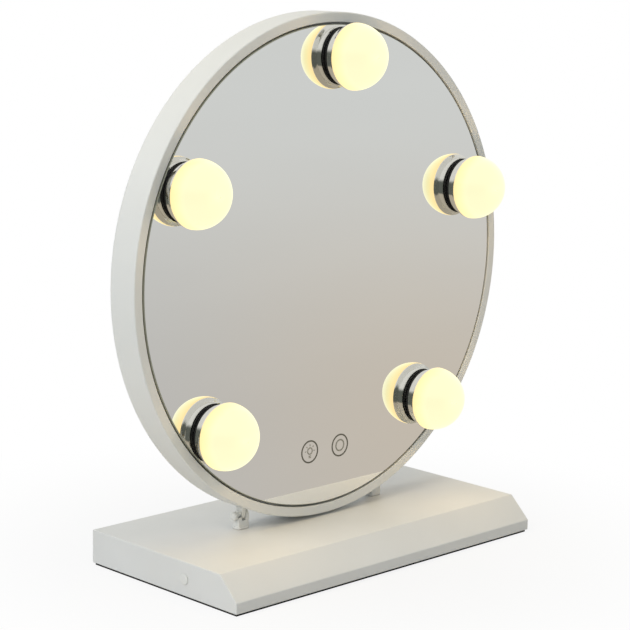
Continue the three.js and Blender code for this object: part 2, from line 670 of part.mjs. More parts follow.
function dcSocket() {
  const from = BOARD_BACK_Y + SOCKET_CLEARANCE;
  const floor = from + SOCKET_FLOOR;
  const lip = COVER_BACK_Y + FIT_GAP;
  const profile = [
    [0, from],
    [SOCKET_RADIUS, from],
    [SOCKET_RADIUS, lip],
    [SOCKET_FLANGE_RADIUS, lip],
    [SOCKET_FLANGE_RADIUS, lip + SOCKET_FLANGE],
    [SOCKET_BORE_RADIUS, lip + SOCKET_FLANGE],
    [SOCKET_BORE_RADIUS, floor],
    [SOCKET_PIN_RADIUS, floor],
    [SOCKET_PIN_RADIUS, lip],
    [0, lip],
  ];
  const socket = turned(profile, BULB_SEGMENTS).translate([SOCKET_X, 0, -SOCKET_DROP]);
  return meshOf("dc_socket", socket, "black_plastic");
}

function powerLead() {
  const boardBottom = -CONTROL_BOARD_DROP - CONTROL_BOARD_SIZE[1] / 2;
  const leadY = (BOARD_FRONT_Y + BOARD_BACK_Y) / 2;
  const socketFront = BOARD_BACK_Y + SOCKET_CLEARANCE - 2 * FIT_GAP;
  const points = [
    [SOCKET_X, socketFront, -SOCKET_DROP],
    [SOCKET_X, leadY + FIT_GAP, -SOCKET_DROP],
    [SOCKET_X - POWER_LEAD_SHIFT / 2, leadY, boardBottom - POWER_LEAD_SHIFT],
    [SOCKET_X - POWER_LEAD_SHIFT, leadY, boardBottom - 2 * FIT_GAP],
  ];
  return meshOf("power_lead", wire(LEAD_RADIUS, points, 8), "wire_sleeve");
}

function bulbLead(name, [x, z], [landingX, landingZ]) {
  const boardZ = landingZ - CONTROL_BOARD_DROP;
  const runY = BOARD_BACK_Y + LEAD_RUN;
  const between = (share) => [landingX + (x - landingX) * share, runY, boardZ + (z - boardZ) * share];
  const points = [
    [x, STEM_END_Y + 2 * FIT_GAP, z],
    [x, STEM_END_Y + LEAD_RISE, z],
    ...LEAD_RUN_SHARES.map(between),
    [landingX, BOARD_BACK_Y + LEAD_RISE, boardZ],
    [landingX, BOARD_BACK_Y + 2 * FIT_GAP, boardZ],
  ];
  return meshOf(name, wire(LEAD_RADIUS, points, 12), "wire_sleeve");
}

// ---- The object -----------------------------------------------------------

function baseGroup() {
  const group = new THREE.Group();
  group.add(baseBoard(), basePad(), sidePlug());
  for (const [word, side] of [["left", -1], ["right", 1]]) {
    group.add(footBracket("foot_bracket_" + word, side));
    group.add(footScrew("foot_screw_" + word, side));
  }
  return group;
}

function hingeGroup() {
  const group = new THREE.Group();
  for (const [word, side] of [["left", -1], ["right", 1]]) {
    group.add(thumbKnob("thumb_knob_" + word, side));
  }
  return group;
}

function headGroup() {
  const group = new THREE.Group();
  group.position.z = HEAD_Z;
  group.add(casingRing(), mirrorGlass(), glassTape(), backingPlate(), rearCover());
  BOSS_ANGLES.forEach((degrees, i) => group.add(coverScrew("cover_screw_" + (i + 1), degrees)));
  bulbPlaces().forEach((place, i) => {
    const word = BULB_NAMES[i];
    group.add(bulbDome("dome_" + word, place));
    group.add(bulbCollar("collar_" + word, place));
    group.add(bulbGasket("gasket_" + word, place));
    group.add(ledBoard("led_board_" + word, place));
    group.add(stemNut("stem_nut_" + word, place));
    group.add(bulbLead("bulb_lead_" + word, place, LEAD_LANDINGS[i]));
  });
  group.add(touchBoard(), controlBoard(), touchRibbon(), dcSocket(), powerLead());
  return group;
}

const vanityMirror = new THREE.Group();
vanityMirror.add(baseGroup(), hingeGroup(), headGroup());

export default vanityMirror;
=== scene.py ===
# A table-top make-up mirror: a round lit mirror head, hinged low on a flat lacquered base.
import json
import math

import bpy
from mathutils import Matrix, Vector


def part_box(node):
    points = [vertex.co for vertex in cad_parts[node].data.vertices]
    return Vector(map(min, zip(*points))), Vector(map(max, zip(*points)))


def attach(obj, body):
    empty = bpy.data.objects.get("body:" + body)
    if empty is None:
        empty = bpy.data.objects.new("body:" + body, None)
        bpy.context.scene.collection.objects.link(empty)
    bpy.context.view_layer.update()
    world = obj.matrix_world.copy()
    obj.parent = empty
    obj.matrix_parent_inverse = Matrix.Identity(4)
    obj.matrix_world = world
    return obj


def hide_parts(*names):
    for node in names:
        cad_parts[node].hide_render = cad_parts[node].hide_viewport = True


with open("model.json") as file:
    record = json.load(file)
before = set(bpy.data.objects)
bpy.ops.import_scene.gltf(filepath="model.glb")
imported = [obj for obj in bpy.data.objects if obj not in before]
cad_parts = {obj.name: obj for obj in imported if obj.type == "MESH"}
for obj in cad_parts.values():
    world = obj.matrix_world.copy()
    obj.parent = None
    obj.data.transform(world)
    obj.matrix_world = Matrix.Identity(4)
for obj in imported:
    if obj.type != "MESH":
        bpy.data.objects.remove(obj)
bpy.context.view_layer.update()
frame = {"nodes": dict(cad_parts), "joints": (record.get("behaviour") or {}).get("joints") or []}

MM = 0.001
nodes = frame["nodes"]


# ---- Camera ---------------------------------------------------------------
# A long lens at table height, turned to the mirror's left and a little above its middle.

VIEW_AZIMUTH = math.radians(-44.927)
VIEW_ELEVATION = math.radians(10.443)
VIEW_ROLL = math.radians(1.274)
VIEW_DISTANCE = 1.1734
VIEW_TARGET = Vector((-0.00692, 0, 0.14489))
LENS_MM = 112.98
SENSOR_MM = 36

view_back = Vector((
    math.sin(VIEW_AZIMUTH) * math.cos(VIEW_ELEVATION),
    -math.cos(VIEW_AZIMUTH) * math.cos(VIEW_ELEVATION),
    math.sin(VIEW_ELEVATION),
))
view_turn = view_back.to_track_quat("Z", "Y").to_matrix() @ Matrix.Rotation(VIEW_ROLL, 3, "Z")
bpy.ops.object.camera_add(location=VIEW_TARGET + view_back * VIEW_DISTANCE, rotation=view_turn.to_euler())
camera = bpy.context.object
camera.name = "camera"
camera.data.lens = LENS_MM
camera.data.sensor_width = SENSOR_MM
camera.data.clip_start = 0.05
bpy.context.scene.camera = camera


# ---- Studio -----------------------------------------------------------------
# A white sweep for a floor, a graded surround that the glass and chrome reflect, and two soft boxes,
# the stronger one to the left.

def linear(hex_colour):
    """An sRGB hex colour as linear red, green, blue and full alpha."""
    channels = [int(hex_colour[i:i + 2], 16) / 255 for i in (1, 3, 5)]
    return [c / 12.92 if c <= 0.04045 else ((c + 0.055) / 1.055) ** 2.4 for c in channels] + [1]


def add_node(tree, kind, sockets=None, links=None, **settings):
    """A node with its settings, its fixed socket values and its incoming links."""
    made = tree.nodes.new(kind)
    for name, value in settings.items():
        setattr(made, name, value)
    for name, value in (sockets or {}).items():
        made.inputs[name].default_value = value
    for name, source in (links or {}).items():
        tree.links.new(source, made.inputs[name])
    return made


def nothing_selected():
    if bpy.context.object and bpy.context.object.mode == "EDIT":
        bpy.ops.object.mode_set(mode="OBJECT")
    bpy.ops.object.select_all(action="DESELECT")


WALL_TOP = "#DADCDB"
WALL_LOW_LEFT = "#C6C5C3"
WALL_LOW_RIGHT = "#D0C6B9"
GROUND = "#CEC5B6"
CEILING = "#FFFFFF"
DARK_DRAPE = "#6B6F6A"
AMBIENT = "#A7AFB7"
FLOOR_SIZE = 12
FADE_NEAR = 0.8
FADE_TO = 0.3


def blend(tree, first, second, share):
    """One colour turning into another by the share, each a hex colour or a socket."""
    made = add_node(tree, "ShaderNodeMix", links={0: share}, data_type="RGBA")
    for socket, colour in ((made.inputs[6], first), (made.inputs[7], second)):
        if isinstance(colour, str):
            socket.default_value = linear(colour)
        else:
            tree.links.new(colour, socket)
    return made.outputs[2]


def ramp(tree, value, start, end):
    """0 at the start, 1 at the end, easing between them."""
    made = add_node(tree, "ShaderNodeMapRange", {"From Min": start, "From Max": end}, {"Value": value},
                    interpolation_type="SMOOTHSTEP")
    return made.outputs[0]


scene = bpy.context.scene
scene.view_settings.view_transform = "Standard"
world = bpy.data.worlds.new("studio_surround")
scene.world = world
world.use_nodes = True
tree = world.node_tree
tree.nodes.clear()
seen = add_node(tree, "ShaderNodeLightPath")
direction = add_node(tree, "ShaderNodeTexCoord")
parts = add_node(tree, "ShaderNodeSeparateXYZ", links={0: direction.outputs["Generated"]})
right_way, up_way = parts.outputs["X"], parts.outputs["Z"]
low_wall = blend(tree, WALL_LOW_LEFT, WALL_LOW_RIGHT, ramp(tree, right_way, 0.6, 0.74))
wall = blend(tree, low_wall, WALL_TOP, ramp(tree, up_way, -0.26, -0.04))
facing_drape = ramp(tree, right_way, 0.1, -0.25)
draped = blend(tree, wall, DARK_DRAPE, facing_drape)
above_ground = blend(tree, GROUND, draped, ramp(tree, up_way, -0.48, -0.42))
whole = blend(tree, above_ground, CEILING, ramp(tree, up_way, 0.14, 0.36))
surround = add_node(tree, "ShaderNodeBackground", {"Strength": 1.0}, {"Color": whole})
ambient = add_node(tree, "ShaderNodeBackground", {"Color": linear(AMBIENT), "Strength": 1.0})
white = add_node(tree, "ShaderNodeBackground", {"Color": (1, 1, 1, 1), "Strength": 1.0})
unseen = add_node(tree, "ShaderNodeMixShader", links={
    0: seen.outputs["Is Glossy Ray"], 1: ambient.outputs[0], 2: surround.outputs[0]})
both = add_node(tree, "ShaderNodeMixShader", links={
    0: seen.outputs["Is Camera Ray"], 1: unseen.outputs[0], 2: white.outputs[0]})
add_node(tree, "ShaderNodeOutputWorld", links={"Surface": both.outputs[0]})

nothing_selected()
bpy.ops.mesh.primitive_plane_add(size=FLOOR_SIZE, location=(0, 0, 0))
floor = bpy.context.object
floor.name = "floor"
floor_paint = bpy.data.materials.new("white_sweep")
floor_paint.use_nodes = True
tree = floor_paint.node_tree
tree.nodes.clear()
seen = add_node(tree, "ShaderNodeLightPath")
paper = add_node(tree, "ShaderNodeBsdfDiffuse", {"Color": (0.7, 0.7, 0.7, 1)})
bright = add_node(tree, "ShaderNodeEmission", {"Color": (1, 1, 1, 1), "Strength": 1.0})
place = add_node(tree, "ShaderNodeTexCoord")
far = add_node(tree, "ShaderNodeVectorMath", links={0: place.outputs["Object"]}, operation="LENGTH")
fade = add_node(tree, "ShaderNodeMapRange", {"From Max": FADE_TO, "To Min": FADE_NEAR},
                {"Value": far.outputs["Value"]}, interpolation_type="SMOOTHSTEP").outputs[0]
faded = add_node(tree, "ShaderNodeMath", links={0: fade, 1: seen.outputs["Is Camera Ray"]},
                 operation="MULTIPLY")
swept = add_node(tree, "ShaderNodeMixShader", links={
    0: faded.outputs[0], 1: paper.outputs[0], 2: bright.outputs[0]})
add_node(tree, "ShaderNodeOutputMaterial", links={"Surface": swept.outputs[0]})
floor.data.materials.append(floor_paint)
floor.visible_glossy = False


def soft_box(name, place, aim, size, watts, colour):
    """A square studio light that lights the object but isn't seen in its gloss."""
    nothing_selected()
    direction = Vector(aim) - Vector(place)
    turn = direction.to_track_quat("-Z", "Y").to_euler()
    bpy.ops.object.light_add(type="AREA", location=place, rotation=turn)
    lamp = bpy.context.object
    lamp.name = name
    lamp.data.shape = "SQUARE"
    lamp.data.size = size
    lamp.data.energy = watts
    lamp.data.color = linear(colour)[:3]
    lamp.visible_glossy = False
    return lamp


soft_box("left_soft_box", (-2.2, -0.1, 1.5), (0, 0, 0.15), 1.4, 31, "#FFFFFF")
soft_box("top_soft_box", (0.2, -0.2, 2.4), (0, 0, 0.1), 1.8, 13.7, "#FFE8AF")


# ---- Base board -------------------------------------------------------------
# Fibreboard, cut square with one long edge planed to a slope, its arrises eased, and
# sprayed with satin white lacquer that levels to a faint orange peel.

BOARD_SLOPE_RUN = 14 * MM
BOARD_NOSE_HEIGHT = 7.9 * MM
BOARD_ARRIS = 0.5 * MM
LACQUER = "#E5E5E2"
LACQUER_SHADE = "#DCDBD7"
LACQUER_PEEL_MM = 1.6


def edit(piece):
    """The piece alone, in edit mode, with nothing in it selected."""
    nothing_selected()
    piece.select_set(True)
    bpy.context.view_layer.objects.active = piece
    bpy.ops.object.mode_set(mode="EDIT")
    bpy.ops.mesh.select_all(action="DESELECT")


def select_where(piece, kind, test):
    """Selects the vertices, edges or faces whose middle passes the test, in edit mode, and no others."""
    bpy.ops.mesh.select_all(action="DESELECT")
    bpy.ops.mesh.select_mode(type={"vertices": "VERT", "edges": "EDGE", "faces": "FACE"}[kind])
    bpy.ops.object.mode_set(mode="OBJECT")
    mesh = piece.data
    for part in getattr(mesh, {"faces": "polygons"}.get(kind, kind)):
        if kind == "vertices":
            part.select = test(part.co)
        else:
            corners = [mesh.vertices[v].co for v in part.vertices]
            middle = sum(corners, Vector()) / len(corners)
            part.select = test(middle)
    bpy.ops.object.mode_set(mode="EDIT")


def apply_modifier(piece, kind, **settings):
    nothing_selected()
    piece.select_set(True)
    bpy.context.view_layer.objects.active = piece
    made = piece.modifiers.new(kind.lower(), kind)
    for name, value in settings.items():
        setattr(made, name, value)
    bpy.ops.object.modifier_apply(modifier=made.name)


def soften(piece, width, segments=3, angle=30):
    """Eased edges wherever the surface turns by more than the angle."""
    apply_modifier(piece, "BEVEL", width=width, segments=segments, limit_method="ANGLE",
                   angle_limit=math.radians(angle), harden_normals=False, use_clamp_overlap=True)


def finished(piece, material, body, slot, *replaced):
    """Smooth where the piece is round, in its material, on its body, in place of its CAD nodes."""
    nothing_selected()
    piece.select_set(True)
    bpy.context.view_layer.objects.active = piece
    bpy.ops.object.transform_apply(location=True, rotation=True, scale=True)
    bpy.ops.object.shade_smooth_by_angle(angle=math.radians(35))
    apply_modifier(piece, "WEIGHTED_NORMAL", keep_sharp=True)
    piece.data.materials.clear()
    piece.data.materials.append(material)
    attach(piece, body)
    if replaced:
        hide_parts(*replaced)
    return piece


def box_piece(name, low, high):
    """A cuboid between two corners, with its place in its mesh."""
    nothing_selected()
    low, high = Vector(low), Vector(high)
    bpy.ops.mesh.primitive_cube_add(size=1, location=(low + high) / 2)
    piece = bpy.context.object
    piece.name = name
    piece.scale = high - low
    bpy.ops.object.transform_apply(location=True, rotation=True, scale=True)
    return piece


def new_material(name):
    made = bpy.data.materials.new(name)
    made.use_nodes = True
    made.node_tree.nodes.clear()
    return made, made.node_tree


def surfaced(made, sockets, links):
    """The material ended in one shader, with its fixed socket values and its patterns."""
    shader = add_node(made.node_tree, "ShaderNodeBsdfPrincipled", sockets, links)
    add_node(made.node_tree, "ShaderNodeOutputMaterial", links={"Surface": shader.outputs[0]})
    return made


def pattern_place(tree, scale_mm):
    """Object coordinates turned so that one unit of the pattern is scale_mm across."""
    place = add_node(tree, "ShaderNodeTexCoord")
    size = 1 / (scale_mm * MM)
    mapped = add_node(tree, "ShaderNodeMapping", {"Scale": (size, size, size)},
                      {"Vector": place.outputs["Object"]})
    return mapped.outputs["Vector"]


def satin_lacquer():
    """Satin nitrocellulose lacquer, sprayed: soft gloss, faint orange peel, a slightly uneven white."""
    made, tree = new_material("satin_lacquer")
    peel = add_node(tree, "ShaderNodeTexNoise", {"Scale": 1.0, "Detail": 2.0},
                    {"Vector": pattern_place(tree, LACQUER_PEEL_MM)})
    cloud = add_node(tree, "ShaderNodeTexNoise", {"Scale": 1.0, "Detail": 3.0},
                     {"Vector": pattern_place(tree, 45)})
    tone = blend(tree, LACQUER, LACQUER_SHADE, cloud.outputs["Fac"])
    gloss = add_node(tree, "ShaderNodeMapRange", {"To Min": 0.34, "To Max": 0.5},
                     {"Value": cloud.outputs["Fac"]})
    bump = add_node(tree, "ShaderNodeBump", {"Strength": 0.12, "Distance": 0.05 * MM},
                    {"Height": peel.outputs["Fac"]})
    return surfaced(made, {"IOR": 1.5}, {
        "Base Color": tone, "Roughness": gloss.outputs[0], "Normal": bump.outputs[0]})


lacquer = satin_lacquer()

low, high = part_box("base_board")
board = box_piece("board", low, high)
edit(board)
bpy.ops.mesh.select_all(action="SELECT")
bpy.ops.mesh.bisect(plane_co=(0, 0, BOARD_NOSE_HEIGHT), plane_no=(0, 0, 1))
select_where(board, "vertices", lambda p: p.z > high.z - MM and p.y < 0)
bpy.ops.transform.translate(value=(0, BOARD_SLOPE_RUN, 0))
bpy.ops.object.mode_set(mode="OBJECT")
soften(board, BOARD_ARRIS)
finished(board, lacquer, "base", "white_lacquer", "base_board")


# ---- Base pad ---------------------------------------------------------------
# A sheet of black closed-cell foam, die-cut a little smaller than the board and glued under it
# to stop it sliding. Only its cut edge shows, as a dark line.

FOAM = "#1B1B1A"
FOAM_CELL_MM = 0.6


def cell_foam():
    """Closed-cell EVA foam: dull black, pitted by cut cells."""
    made, tree = new_material("cell_foam")
    cells = add_node(tree, "ShaderNodeTexVoronoi", {"Scale": 1.0},
                     {"Vector": pattern_place(tree, FOAM_CELL_MM)})
    tone = blend(tree, "#0F0F0F", FOAM, cells.outputs["Distance"])
    bump = add_node(tree, "ShaderNodeBump", {"Strength": 0.6, "Distance": 0.1 * MM},
                    {"Height": cells.outputs["Distance"]})
    return surfaced(made, {"Roughness": 0.9, "IOR": 1.45}, {
        "Base Color": tone, "Normal": bump.outputs[0]})


foam = cell_foam()
pad = box_piece("pad", *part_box("base_pad"))
soften(pad, 0.3 * MM, segments=2)
finished(pad, foam, "base", "black_foam", "base_pad")


# ---- Side plug --------------------------------------------------------------
# A small white push-in cap in the left end of the board, turned with a slightly domed face.

ABS_WHITE = "#E7E7E2"
ABS_SHADE = "#DFDED9"
ABS_GRAIN_MM = 0.35


def satin_abs():
    """ABS, injection moulded in a finely spark-eroded tool: even satin white, a very fine grain."""
    made, tree = new_material("satin_abs")
    grain = add_node(tree, "ShaderNodeTexNoise", {"Scale": 1.0, "Detail": 2.0},
                     {"Vector": pattern_place(tree, ABS_GRAIN_MM)})
    flow = add_node(tree, "ShaderNodeTexNoise", {"Scale": 1.0, "Detail": 2.0},
                    {"Vector": pattern_place(tree, 60)})
    tone = blend(tree, ABS_WHITE, ABS_SHADE, flow.outputs["Fac"])
    gloss = add_node(tree, "ShaderNodeMapRange", {"To Min": 0.33, "To Max": 0.46},
                     {"Value": grain.outputs["Fac"]})
    bump = add_node(tree, "ShaderNodeBump", {"Strength": 0.03, "Distance": 0.02 * MM},
                    {"Height": grain.outputs["Fac"]})
    return surfaced(made, {"IOR": 1.54}, {
        "Base Color": tone, "Roughness": gloss.outputs[0], "Normal": bump.outputs[0]})


def arc(middle_radius, middle_height, radius, from_degrees, to_degrees, steps):
    """Points of a round stretch of a profile, as [radius, height] pairs."""
    angles = [math.radians(from_degrees + (to_degrees - from_degrees) * i / steps) for i in range(steps + 1)]
    return [[middle_radius + radius * math.cos(a), middle_height + radius * math.sin(a)] for a in angles]


def round_piece(name, profile, sides, place=(0, 0, 0), turn=(0, 0, 0)):
    """A turned piece: one circle drawn out ring by ring through its [radius, height] steps. A profile that
    starts or ends on its axis is capped there, and one that stays off it is joined end to start."""
    nothing_selected()
    starts_on_axis = profile[0][0] < 1e-7
    ends_on_axis = profile[-1][0] < 1e-7
    rings = profile[starts_on_axis:len(profile) - ends_on_axis]
    radius, height = rings[0]
    bpy.ops.mesh.primitive_circle_add(vertices=sides, radius=radius, fill_type="NOTHING")
    piece = bpy.context.object
    piece.name = name
    bpy.ops.object.mode_set(mode="EDIT")
    bpy.ops.mesh.select_mode(type="EDGE")
    bpy.ops.mesh.select_all(action="SELECT")
    bpy.ops.transform.translate(value=(0, 0, height))
    if starts_on_axis:
        bpy.ops.mesh.edge_face_add()
    for next_radius, next_height in rings[1:]:
        bpy.ops.mesh.extrude_edges_move(TRANSFORM_OT_translate={"value": (0, 0, next_height - height)})
        size = next_radius / radius
        bpy.ops.transform.resize(value=(size, size, 1), center_override=(0, 0, next_height))
        radius, height = next_radius, next_height
    if ends_on_axis and abs(profile[-1][1] - height) < 1e-7:
        bpy.ops.mesh.edge_face_add()
    elif ends_on_axis:
        bpy.ops.mesh.extrude_edges_move(TRANSFORM_OT_translate={"value": (0, 0, profile[-1][1] - height)})
        bpy.ops.mesh.merge(type="CENTER")
    else:
        bpy.ops.mesh.select_all(action="DESELECT")
        bpy.ops.mesh.select_non_manifold()
        bpy.ops.mesh.bridge_edge_loops()
    bpy.ops.mesh.select_all(action="SELECT")
    bpy.ops.mesh.normals_make_consistent(inside=False)
    bpy.ops.object.mode_set(mode="OBJECT")
    piece.rotation_euler = turn
    piece.location = place
    bpy.ops.object.transform_apply(location=True, rotation=True, scale=True)
    return piece


FACING_LEFT = (0, -math.pi / 2, 0)
FACING_RIGHT = (0, math.pi / 2, 0)
FACING_FRONT = (math.pi / 2, 0, 0)
FACING_BACK = (-math.pi / 2, 0, 0)

abs_white = satin_abs()

low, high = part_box("side_plug")
plug_radius = (high.z - low.z) / 2
plug_middle = ((low + high) / 2).yz
board_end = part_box("base_board")[0].x
plug_height = board_end - low.x
plug = round_piece("plug", [
    [0, -2 * MM],
    [plug_radius * 0.8, -2 * MM],
    [plug_radius * 0.8, 0.2 * MM],
    [plug_radius, 0.2 * MM],
    [plug_radius, plug_height - 0.25 * MM],
    [plug_radius * 0.72, plug_height],
    [0, plug_height],
], 40, (board_end, *plug_middle), FACING_LEFT)
soften(plug, 0.12 * MM, segments=2, angle=25)
finished(plug, abs_white, "base", "white_plastic", "side_plug")


# ---- Hinge brackets -----------------------------------------------------------
# Two small moulded ABS forks, each pegged to the board and pulled down by a screw from below. The
# head's lug swings in the fork, and a slit lets the outer cheek pinch it when the knob is tight.

BRACKET_EDGE = 0.35 * MM
FORK_SIDES = 40
FORK_RADIUS = 2.7 * MM
FORK_INNER_X = 52.5 * MM
FORK_OUTER_X = 60.3 * MM
LUG_INNER_X = 55 * MM
LUG_OUTER_X = 57.8 * MM
HINGE_GAP = 0.3 * MM
FORK_FLOOR_Z = 26.6 * MM
FOOT_HEIGHT = 1.2 * MM
FOOT_CORNER = 1.4 * MM
PIN_BORE = 1.5 * MM
BORE_END_X = 53.3 * MM
PINCH_SLIT = 1.8 * MM
CUT_PAST = 9 * MM
pivot = Vector(next(j for j in frame["joints"] if j["name"] == "head_tilt")["pos_m"])


def joined_solid(piece, *others):
    """One closed solid from several that overlap."""
    for other in others:
        apply_modifier(piece, "BOOLEAN", operation="UNION", solver="EXACT", object=other)
        bpy.data.objects.remove(other)
    return piece


def cut_away(piece, *others):
    for other in others:
        apply_modifier(piece, "BOOLEAN", operation="DIFFERENCE", solver="EXACT", object=other)
        bpy.data.objects.remove(other)
    return piece


def round_ended(name, radius, from_x, to_x, end_z, round_on_top):
    """A flat bar across X, round at the end about the hinge's axis and drawn out to a level end: the round
    end is kept on top, or else below."""
    nothing_selected()
    middle = ((from_x + to_x) / 2, pivot.y, pivot.z)
    bpy.ops.mesh.primitive_cylinder_add(vertices=FORK_SIDES, radius=radius, depth=abs(to_x - from_x),
                                        location=middle, rotation=FACING_RIGHT)
    piece = bpy.context.object
    piece.name = name
    bpy.ops.object.transform_apply(location=True, rotation=True, scale=True)
    edit(piece)
    bpy.ops.mesh.select_all(action="SELECT")
    bpy.ops.mesh.bisect(plane_co=pivot, plane_no=(0, 0, 1), clear_inner=round_on_top,
                        clear_outer=not round_on_top, use_fill=True)
    select_where(piece, "faces", lambda p: abs(p.z - pivot.z) < 0.01 * MM)
    bpy.ops.mesh.extrude_region_move(TRANSFORM_OT_translate={"value": (0, 0, end_z - pivot.z)})
    bpy.ops.mesh.select_all(action="SELECT")
    bpy.ops.mesh.normals_make_consistent(inside=False)
    bpy.ops.object.mode_set(mode="OBJECT")
    return piece


def across_rod(name, radius, from_x, to_x, y, z, sides=32):
    nothing_selected()
    bpy.ops.mesh.primitive_cylinder_add(vertices=sides, radius=radius, depth=abs(to_x - from_x),
                                        location=((from_x + to_x) / 2, y, z), rotation=FACING_RIGHT)
    piece = bpy.context.object
    piece.name = name
    bpy.ops.object.transform_apply(location=True, rotation=True, scale=True)
    return piece


foot_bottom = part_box("base_board")[1].z + HINGE_GAP
for word, side in (("left", -1), ("right", 1)):
    low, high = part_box("foot_bracket_" + word)
    foot = box_piece("foot", (low.x, low.y, foot_bottom), (high.x, high.y, foot_bottom + FOOT_HEIGHT))
    edit(foot)
    select_where(foot, "edges", lambda p: abs(p.z - foot_bottom - FOOT_HEIGHT / 2) < 0.01 * MM)
    bpy.ops.mesh.bevel(offset=FOOT_CORNER, segments=6, affect="EDGES")
    bpy.ops.object.mode_set(mode="OBJECT")
    fork = round_ended("fork", FORK_RADIUS, side * FORK_INNER_X, side * FORK_OUTER_X,
                       foot_bottom + FOOT_HEIGHT / 2, round_on_top=True)
    bracket = joined_solid(foot, fork)
    soften(bracket, BRACKET_EDGE, segments=2, angle=40)
    slot_ends = sorted((side * (LUG_INNER_X - HINGE_GAP), side * (LUG_OUTER_X + HINGE_GAP)))
    slot = box_piece("slot", (slot_ends[0], pivot.y - CUT_PAST, FORK_FLOOR_Z),
                     (slot_ends[1], pivot.y + CUT_PAST, pivot.z + CUT_PAST))
    slit_ends = sorted((side * LUG_OUTER_X, side * (FORK_OUTER_X + CUT_PAST)))
    slit = box_piece("slit", (slit_ends[0], pivot.y - CUT_PAST, pivot.z - PINCH_SLIT / 2),
                     (slit_ends[1], pivot.y, pivot.z + PINCH_SLIT / 2))
    bore = across_rod("bore", PIN_BORE, side * BORE_END_X, side * (FORK_OUTER_X + CUT_PAST), pivot.y, pivot.z)
    bracket = cut_away(bracket, slot, slit, bore)
    bracket.name = "bracket_" + word
    finished(bracket, abs_white, "base", "white_plastic", "foot_bracket_" + word)


# ---- Clamp knobs ----------------------------------------------------------------
# A small round ABS knob moulded on the end of each hinge pin, with a coin edge to grip and a
# domed face. Turning it pinches the bracket's cheek against the casing's lug.

KNOB_SIDES = 48
KNOB_GRIPS = 16
KNOB_GRIP_DEPTH = 0.18 * MM
KNOB_CHAMFER = 0.3 * MM
KNOB_CROWN = 1.2 * MM
PIN_RADIUS = 1.2 * MM


def gripped(knob, axis_point, low_x, high_x, radius):
    """Grooves pressed into every third strip of the knob's rim."""
    edit(knob)

    def in_groove(p):
        around = math.atan2(p.z - axis_point.z, p.y - axis_point.y) / (2 * math.pi) * KNOB_GRIPS
        out = math.hypot(p.y - axis_point.y, p.z - axis_point.z)
        return low_x < p.x < high_x and out > radius * 0.97 and around % 1 < 1 / 3

    select_where(knob, "faces", in_groove)
    bpy.ops.mesh.inset(thickness=0.04 * MM, depth=-KNOB_GRIP_DEPTH, use_individual=True)
    bpy.ops.object.mode_set(mode="OBJECT")


for word, side in (("left", -1), ("right", 1)):
    low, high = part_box("thumb_knob_" + word)
    inner, outer = sorted((abs(low.x), abs(high.x)))
    knob_radius = (high.z - low.z) / 2
    seat = FORK_OUTER_X + HINGE_GAP
    knob = round_piece("knob_" + word, [
        [0, inner],
        [PIN_RADIUS, inner],
        [PIN_RADIUS, seat],
        [knob_radius - KNOB_CHAMFER, seat],
        [knob_radius, seat + KNOB_CHAMFER],
        [knob_radius, outer - KNOB_CROWN],
        *arc(knob_radius - KNOB_CROWN, outer - KNOB_CROWN, KNOB_CROWN, 10, 80, 5),
        [0, outer],
    ], KNOB_SIDES, (0, pivot.y, pivot.z), FACING_RIGHT if side > 0 else FACING_LEFT)
    rim_low, rim_high = sorted((side * (seat + KNOB_CHAMFER), side * (outer - KNOB_CROWN)))
    gripped(knob, pivot, rim_low, rim_high, knob_radius)
    finished(knob, abs_white, "knob_" + word, "white_plastic", "thumb_knob_" + word)


# ---- Casing ---------------------------------------------------------------------
# The mirror's round housing, moulded in white ABS: a plain side wall, a narrow front rim round
# the glass, a flange behind it that the glass is taped to, and two hinge lugs underneath.

CASING_SIDES = 240
CASING_WALL = 3 * MM
RIM_WIDTH = 5.85 * MM
FRONT_EDGE_ROUND = 0.9 * MM
RIM_INNER_ROUND = 0.35 * MM
REAR_EDGE_ROUND = 3 * MM
FLANGE_RADIUS = 134 * MM
LUG_RADIUS = 2.4 * MM
LUG_ROOT = 3.2 * MM
LUG_ROOT_Z = 35.4 * MM

glass_low, glass_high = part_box("mirror_glass")
head_middle = (glass_low + glass_high) / 2
glass_front = glass_low.y
glass_back = glass_high.y
casing_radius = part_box("casing_ring")[1].z - head_middle.z
casing_front, casing_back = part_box("casing_ring")[0].y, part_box("casing_ring")[1].y
head_axis = (0, 0, head_middle.z)
flange_front = glass_back + 1.1 * MM
flange_back = flange_front + 2 * MM


